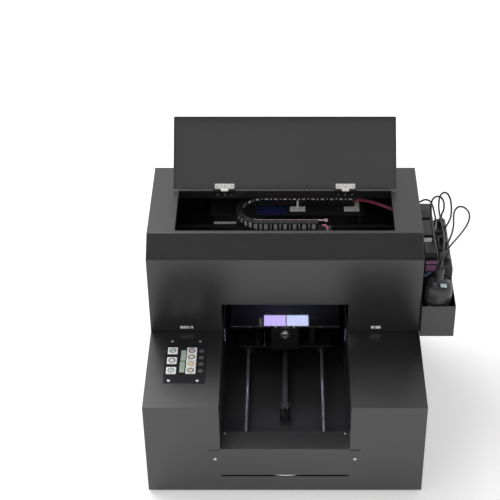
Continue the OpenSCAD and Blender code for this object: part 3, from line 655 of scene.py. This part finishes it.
def make_pulleys():
    alloy = FINISH["bright_steel"]
    kit = bmesh.new()
    toothed(kit, (-5.5, 485, 100), (1, 0, 0), 5.7, 11, 16)
    add_lathe(kit, (5, 485, 100), (1, 0, 0), [(0, 0), (2.5, 0), (2.5, 28), (0, 28)], 24)
    piece("bed_drive_pulley_toothed", kit, "bed_pulley_rear", alloy, ["bed_drive_pulley"])
    kit = bmesh.new()
    toothed(kit, (-5.5, 139, 100), (1, 0, 0), 5.7, 11, 16)
    piece("bed_idler_pulley_toothed", kit, "bed_pulley_front", alloy, ["bed_idler_pulley"])
    kit = bmesh.new()
    toothed(kit, (-255, 408, 333.5), (0, 0, 1), 5.7, 13, 16)
    add_lathe(kit, (-255, 408, 346), (0, 0, 1), [(0, 0), (2.5, 0), (2.5, 38), (0, 38)], 24)
    piece("carriage_drive_pulley_toothed", kit, "carriage_pulley_left", alloy,
          ["carriage_drive_pulley"])
    kit = bmesh.new()
    toothed(kit, (255, 408, 333.5), (0, 0, 1), 5.7, 13, 16)
    piece("carriage_idler_pulley_toothed", kit, "carriage_pulley_right", alloy,
          ["carriage_idler_pulley"])


def belt_line(half, radius, pitch):
    """Points round a belt's inner face, a pitch apart, with the outward direction at each."""
    straight, bend = 2 * half, math.pi * radius
    total = 2 * (straight + bend)
    count = round(total / pitch) * 4
    line = []
    for k in range(count):
        s = total * k / count
        if s < straight:
            line.append((-half + s, radius, 0, 1))
        elif s < straight + bend:
            a = math.pi / 2 - (s - straight) / radius
            line.append((half + radius * math.cos(a), radius * math.sin(a), math.cos(a), math.sin(a)))
        elif s < 2 * straight + bend:
            line.append((half - (s - straight - bend), -radius, 0, -1))
        else:
            a = -math.pi / 2 - (s - 2 * straight - bend) / radius
            line.append((-half + radius * math.cos(a), radius * math.sin(a), math.cos(a), math.sin(a)))
    return line


def add_belt(kit, place, half, radius, thick, width):
    """A closed toothed belt, flat in the place's own X and Y plane."""
    rows = []
    for k, (x, y, ox, oy) in enumerate(belt_line(half, radius, 6.0)):
        tooth = 0.5 if k % 4 < 2 else 0.0
        row = []
        for r, z in ((tooth, 0), (thick, 0), (thick, width), (tooth, width)):
            row.append(kit.verts.new(place @ (Vector((x + ox * r, y + oy * r, z)) * MM)))
        rows.append(row)
    for a, b in zip(rows, rows[1:] + rows[:1]):
        for k in range(4):
            kit.faces.new([a[k], a[(k + 1) % 4], b[(k + 1) % 4], b[k]])


def make_belts():
    kit = bmesh.new()
    add_belt(kit, Matrix.Translation(at(0, 408, 334)), 255, 6, 1.2, 12)
    piece("carriage_belt_toothed", kit, "housing", FINISH["belt_rubber"], ["carriage_belt"])
    kit = bmesh.new()
    turn = Matrix(((0, 0, 1, 0), (1, 0, 0, 0), (0, 1, 0, 0), (0, 0, 0, 1)))
    add_belt(kit, Matrix.Translation(at(-5, 312, 100)) @ turn, 173, 6, 1.2, 10)
    piece("bed_belt_toothed", kit, "housing", FINISH["belt_rubber"], ["bed_belt"])


# ---- carriage ----
LAMP_STRENGTH = 11.0


def make_lamp_windows():
    """The lamp's two lit windows, each a block with rounded edges."""
    lo, hi = node_box("lamp_windows")
    width = 48
    for name, x0, tint in (("left", lo.x, (0.62, 0.5, 1.0)), ("right", hi.x - width, (0.62, 0.68, 1.0))):
        kit = bmesh.new()
        add_block(kit, (x0, x0 + width), (lo.y, hi.y), (lo.z, hi.z), 0.3)
        mat = lit_window("lamp_glass_" + name, tint, LAMP_STRENGTH)
        piece("lamp_window_" + name, kit, "carriage", mat, ["lamp_windows"])


def make_carriage_details():
    """Cooling fins on the lamp, ink inlets on the head and cover screws."""
    kit = bmesh.new()
    for k in range(9):
        x = -45 + 11.5 * k
        add_block(kit, (x, x + 1.6), (409.6, 412.8), (238, 284), 0.3)
    piece("lamp_fins", kit, "carriage", FINISH["lamp_shell"])
    kit = bmesh.new()
    for x in (-46, 94):
        for y in (351, 391):
            add_screw(kit, (x, y, 385), (0, 0, 1), 2.4, 0.8)
    piece("carriage_cover_screws", kit, "carriage", FINISH["screw_steel"])
    kit = bmesh.new()
    for k in range(6):
        add_lathe(kit, (64 + 4.8 * k, 372, 330), (0, 0, 1), [
            (0, 0), (1.8, 0), (1.8, 6), (1.2, 8), (0, 8)], 14)
    piece("head_inlets", kit, "carriage", FINISH["head_plastic"])


CHAIN_C = (-50, 420)
CHAIN_R = 47
CHAIN_PITCH = 20
REAR_RUN, FRONT_RUN = 200, 120


def chain_point(s):
    """A point on the chain's middle line in plan, and its direction. s runs in millimetres from the
    fixed end, round the bend, to the carriage."""
    bend = math.pi * CHAIN_R
    if s < REAR_RUN:
        return CHAIN_C[0] + REAR_RUN - s, CHAIN_C[1] + CHAIN_R, -1, 0
    if s < REAR_RUN + bend:
        a = math.pi / 2 + (s - REAR_RUN) / CHAIN_R
        return (CHAIN_C[0] + CHAIN_R * math.cos(a), CHAIN_C[1] + CHAIN_R * math.sin(a),
                -math.sin(a), math.cos(a))
    t = s - REAR_RUN - bend
    return CHAIN_C[0] + t, CHAIN_C[1] - CHAIN_R, 1, 0


def chain_place(s):
    x, y, dx, dy = chain_point(s)
    turn = Matrix(((dx, -dy, 0, 0), (dy, dx, 0, 0), (0, 0, 1, 0), (0, 0, 0, 1)))
    return Matrix.Translation(at(x, y, 391)) @ turn


def follow(obj):
    """Bakes a piece's placement into its mesh and walks through its points; no point is given a share of the
    carriage's travel.
    """
    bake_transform(obj)
    for vertex in obj.data.vertices:
        p = inside(vertex.co)
        if p.x < CHAIN_C[0]:
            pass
        elif p.y > CHAIN_C[1]:
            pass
        else:
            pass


def make_chain():
    """A cable chain of open links, built once in place and fixed to no body; no link takes a share of the
    carriage's travel. The links do not roll round the bend."""
    sides, bars = bmesh.new(), bmesh.new()
    bend_links = 7
    bend = math.pi * CHAIN_R
    places = [10 + CHAIN_PITCH * i for i in range(10)]
    places += [REAR_RUN + bend * (i + 0.5) / bend_links for i in range(bend_links)]
    places += [REAR_RUN + bend + 10 + CHAIN_PITCH * i for i in range(6)]
    width, height = 13, 20
    for s in places:
        place = chain_place(s)
        for z in (0, height - 2.4):
            outline = [(-9.6, -width / 2 + 2), (-8, -width / 2), (8, -width / 2), (9.6, -width / 2 + 2),
                       (9.6, width / 2 - 2), (8, width / 2), (-8, width / 2), (-9.6, width / 2 - 2)]
            add_prism(sides, outline, z, 2.4, place)
        for y in (-width / 2, width / 2 - 1.6):
            for x in (-8.3, 3.9):
                outline = [(x, y), (x + 4.4, y), (x + 4.4, y + 1.6), (x, y + 1.6)]
                add_prism(bars, outline, 2.4, height - 4.8, place)
    mats = FINISH["chain_plastic"]
    follow(piece("chain_side_plates", sides, None, mats, ["cable_chain"]))
    follow(piece("chain_cross_bars", bars, None, mats, ["cable_chain"]))


def make_inner_tubes():
    """Ink tubes: along the chain's inner side, up to the carriage and off to the ink tray."""
    bend = math.pi * CHAIN_R
    steps = 90
    length = REAR_RUN + bend + FRONT_RUN
    places = [chain_place(6 + (length - 12) * k / steps) for k in range(steps + 1)]
    inner = bmesh.new()
    for lane, z in ((-1.8, 5.5), (1.8, 5.5)):
        add_tube(inner, [place @ (Vector((0, lane, z)) * MM) for place in places], 1.6)
    follow(piece("chain_tubes", inner, None, FINISH["tube_black"]))
    ribbon = bmesh.new()
    # the flat cables stand high in the rear run and drop as they come round the bend
    to_front = [(REAR_RUN + bend - length * k / steps) / bend for k in range(steps + 1)]
    low_edge = [3 + 9.5 * min(1.0, max(0.0, share)) for share in to_front]
    for lane in (-4.6, 4.1):
        rows = []
        for place, low in zip(places, low_edge):
            corners = ((0, low), (0.5, low), (0.5, 17), (0, 17))
            rows.append([ribbon.verts.new(place @ (Vector((0, lane + side, z)) * MM)) for side, z in corners])
        for a, b in zip(rows, rows[1:]):
            for k in range(4):
                ribbon.faces.new([a[k], a[(k + 1) % 4], b[(k + 1) % 4], b[k]])
        ribbon.faces.new(rows[0][::-1])
        ribbon.faces.new(rows[-1])
    cables = piece("chain_ribbon_cables", ribbon, None, MARK["ribbon"])
    follow(cables)
    rim = bmesh.new()
    path = [chain_place(s) @ (Vector((0, 8.6, 17)) * MM)
            for s in range(REAR_RUN + round(bend) - 20, round(length) + 19, 3)]
    add_tube(rim, path, 1.8)
    add_lathe(rim, inside(path[-1]), (0.3, -0.5, 1), [
        (1.6, -0.8), (3.2, -1.0), (4.0, -0.4), (4.0, 0.6), (3.2, 1.2), (1.8, 1.0), (1.6, -0.8)], 24)
    follow(piece("chain_side_tube", rim, None, MARK["pink"]))
    supply = bmesh.new()
    for side in (-2.6, 2.6):
        route = [[146, 467, 401], [170, 463, 403], [200, 453, 401], [236, 437, 393], [276, 429, 381]]
        add_tube(supply, smooth_route([(x, y + side, z) for x, y, z in route]), 2.0)
    piece("supply_tubes_smooth", supply, "housing", FINISH["ink_tube_red"], ["supply_tubes"])
    riser = bmesh.new()
    route = [[78, 373, 401], [84, 372, 403], [88, 367, 402], [90, 361, 398], [90, 359, 391], [90, 359, 385]]
    add_tube(riser, smooth_route(route), 2.0)
    pink = FINISH["ink_tube_pink"]
    piece("carriage_tube_smooth", riser, "carriage", pink, ["carriage_tubes"])


# ---- electrics ----
def make_fan_rotor():
    """Hub and seven curved, twisted blades."""
    x, z, y = -200, 120, 493
    kit = bmesh.new()
    add_lathe(kit, (x, y + 5, z), (0, 1, 0), [
        (0, 0), (11.2, 0), (12, 0.8), (12, 11.2), (11.2, 12), (0, 12)], 40)
    add_lathe(kit, (x, y + 0.5, z), (0, 1, 0), [(0, 0), (2, 0), (2, 5), (0, 5)], 16)
    for blade in range(7):
        rows = []
        for i in range(7):
            r = 11.5 + 14.0 * i / 6
            row = []
            for j in range(5):
                chord = (j / 4 - 0.5)
                angle = 2 * math.pi * blade / 7 + chord * 0.62
                depth = 11 - chord * 8.5 - 1.4 * (0.25 - chord * chord) * 4
                row.append((x + r * math.cos(angle), y + depth, z + r * math.sin(angle)))
            rows.append(row)
        for lift in (0, 1):
            grid = [[kit.verts.new(at(px, py + 0.9 * lift, pz)) for px, py, pz in row] for row in rows]
            if lift:
                top = grid
            else:
                low = grid
        for i in range(6):
            for j in range(4):
                kit.faces.new([low[i][j], low[i + 1][j], low[i + 1][j + 1], low[i][j + 1]])
                kit.faces.new([top[i][j], top[i][j + 1], top[i + 1][j + 1], top[i + 1][j]])
        rim = [(0, j) for j in range(5)] + [(i, 4) for i in range(1, 7)]
        rim += [(6, j) for j in range(3, -1, -1)] + [(i, 0) for i in range(5, 0, -1)]
        for (i, j), (m, n) in zip(rim, rim[1:] + rim[:1]):
            kit.faces.new([low[i][j], low[m][n], top[m][n], top[i][j]])
    piece("fan_blades", kit, "fan", FINISH["fan_plastic"], ["fan_rotor"])


def make_board_parts():
    """Chips and sockets of the two boards, and the power supply's terminals."""
    chips, metal = bmesh.new(), bmesh.new()
    for x, y, w, d in ((-190, 440, 14, 14), (-165, 425, 9, 12), (-250, 400, 10, 14), (-225, 470, 18, 8)):
        add_block(chips, (x, x + w), (y, y + d), (21.6, 23.4), 0.2)
    for x in (-262, -246, -230, -214):
        add_block(chips, (x, x + 12), (382, 389), (21.6, 30), 0.4)
    for x in (-236, -222, -208):
        add_block(chips, (x, x + 8), (112, 124), (216.6, 219.5), 0.2)
    for k in range(8):
        add_screw(metal, (156 + 12 * k, 40, 52), (0, 0, 1), 2.8, 1.2)
    piece("board_parts", chips, "housing", FINISH["motor_black"])
    piece("supply_terminals", metal, "housing", FINISH["screw_steel"])


def make_motor_parts():
    """End caps and tie screws of the bed motor."""
    kit, metal = bmesh.new(), bmesh.new()
    for x in (8, 41):
        add_block(kit, (x, x + 9), (463.4, 506.6), (78.6, 121.4), 1.2)
    piece("bed_motor_end_caps", kit, "housing", FINISH["lamp_shell"])
    for y in (469, 501):
        for z in (84, 116):
            add_screw(metal, (50, y, z), (1, 0, 0), 2.4, 1.4)
    piece("motor_screws", metal, "housing", FINISH["screw_steel"])


# ---- ink ----
def cap_grip(radius, k):
    """The shallow ribs round a bottle's cap."""
    return 0.96 if radius > 7.5 and k % 4 < 2 else 1.0


def make_bottles():
    """The ribbed round bottle, the caps with their grips, and the labels."""
    base_z = 233
    kit = bmesh.new()
    profile = [(0, 0.2), (26, 0.2), (28.6, 1.4), (29, 4), (29, 18)]
    for k in range(6):
        z = 20 + 12.4 * k
        profile += [(28.9, z), (27.6, z + 1.4), (27.6, z + 3.4), (28.9, z + 4.8), (29, z + 10)]
    profile += [(28.6, 97), (27.4, 98.4), (27.4, 100), (28.9, 101.6), (28.2, 106), (26, 111), (21, 114.6),
                (14, 116.8), (9.6, 118), (8.5, 119.6), (8.5, 137), (0, 137)]
    add_lathe(kit, (315, 249, base_z), (0, 0, 1), profile, 64)
    piece("waste_bottle_ribbed", kit, "housing", FINISH["bottle_plastic"], ["waste_bottle"])
    kit = bmesh.new()
    for x, y in ((334, 312), (334, 370), (334, 429)):
        add_lathe(kit, (x, y, 360), (0, 0, 1), [
            (0, 0), (7.8, 0), (8, 0.6), (8, 13.4), (7.2, 15), (0, 15)], 48, cap_grip)
    add_lathe(kit, (315, 249, 370), (0, 0, 1), [
        (0, 0), (9.2, 0), (9.5, 0.6), (9.5, 12.6), (8.8, 14), (0, 14)], 56, cap_grip)
    piece("bottle_caps_grip", kit, "housing", FINISH["cap_plastic"], ["bottle_caps"])
    label("bottle_label_white", "white_label", (291, 308), (344, 357), (379.9, 380.25))
    label("bottle_label_violet", "violet_label", (290.5, 314.5), (286.5, 297.5), (365.9, 366.3))
    label("bottle_label_violet_front", "violet_label", (291, 311), (283.6, 284.05), (349, 364))
    label("bottle_tag_blue", "blue_label", (286, 303), (283.6, 284.05), (338, 343),
          Matrix.Rotation(math.radians(-38), 4, "Y"))
    slope = Vector((0, 0, 1)).rotation_difference((0.15, -0.26, 0.95)).to_matrix().to_4x4()
    label("bottle_label_mint", "mint_label", (317, 330), (230, 239), (350.0, 350.4), slope)


def label(name, ink, x, y, z, turn=None):
    kit = bmesh.new()
    add_block(kit, x, y, z, 0.1, turn)
    piece(name, kit, "housing", MARK[ink])


# ---- surroundings ----
def make_floor():
    mesh = bpy.data.meshes.new("floor")
    half = 6.0
    corners = [(x, y, FLOOR_Z) for x, y in ((-half, -half), (half, -half), (half, half), (-half, half))]
    mesh.from_pydata(corners, [], [(0, 1, 2, 3)])
    floor = bpy.data.objects.new("floor", mesh)
    bpy.context.scene.collection.objects.link(floor)
    white = surface("floor_white", (0.9, 0.9, 0.9), 0.8, shade=0.004, shade_scale=2.0)
    shader = white.node_tree.nodes["Principled BSDF"]
    shader.inputs["Emission Color"].default_value = (1, 1, 1, 1)
    shader.inputs["Emission Strength"].default_value = 0.32
    mesh.materials.append(white)


def area_light(name, place, target, size, power, color=(1, 1, 1)):
    data = bpy.data.lights.new(name, "AREA")
    data.shape = "RECTANGLE"
    data.size, data.size_y = size
    data.energy = power
    data.color = color
    light = bpy.data.objects.new(name, data)
    light.location = place
    light.rotation_euler = (Vector(target) - Vector(place)).to_track_quat("-Z", "Y").to_euler()
    bpy.context.scene.collection.objects.link(light)


def make_light():
    world = bpy.data.worlds.new("studio")
    world.use_nodes = True
    nodes, links = world.node_tree.nodes, world.node_tree.links
    direction = nodes.new("ShaderNodeTexCoord")
    parts = nodes.new("ShaderNodeSeparateXYZ")
    links.new(direction.outputs["Generated"], parts.inputs["Vector"])
    sky = nodes.new("ShaderNodeValToRGB")
    bands = sky.color_ramp.elements
    bands[0].position, bands[0].color = 0.5, (1.0, 1.0, 1.0, 1)
    bands[1].position, bands[1].color = 0.98, (0.16, 0.16, 0.165, 1)
    middle = bands.new(0.74)
    middle.color = (0.5, 0.5, 0.505, 1)
    links.new(parts.outputs["Z"], sky.inputs["Fac"])
    links.new(sky.outputs["Color"], nodes["Background"].inputs["Color"])
    bpy.context.scene.world = world
    area_light("key_light", (-1.6, 1.5, 3.4), (0, 0, 0), (3.0, 3.0), 95)
    bpy.context.scene.view_settings.view_transform = "Standard"


make_camera()
FINISH = make_finishes()
MARK = print_finishes()
make_ink_tubes()
make_rounded_nodes()
make_tube_fittings()
make_screws()
make_slot_sheet()
make_hinge_screws()
make_lid_bumps()
make_wall_marks()
make_keypad_marks()
make_bed_details()
make_channel_details()
make_pulleys()
make_belts()
make_lamp_windows()
make_carriage_details()
make_chain()
make_inner_tubes()
make_fan_rotor()
make_board_parts()
make_motor_parts()
make_bottles()
make_floor()
make_light()
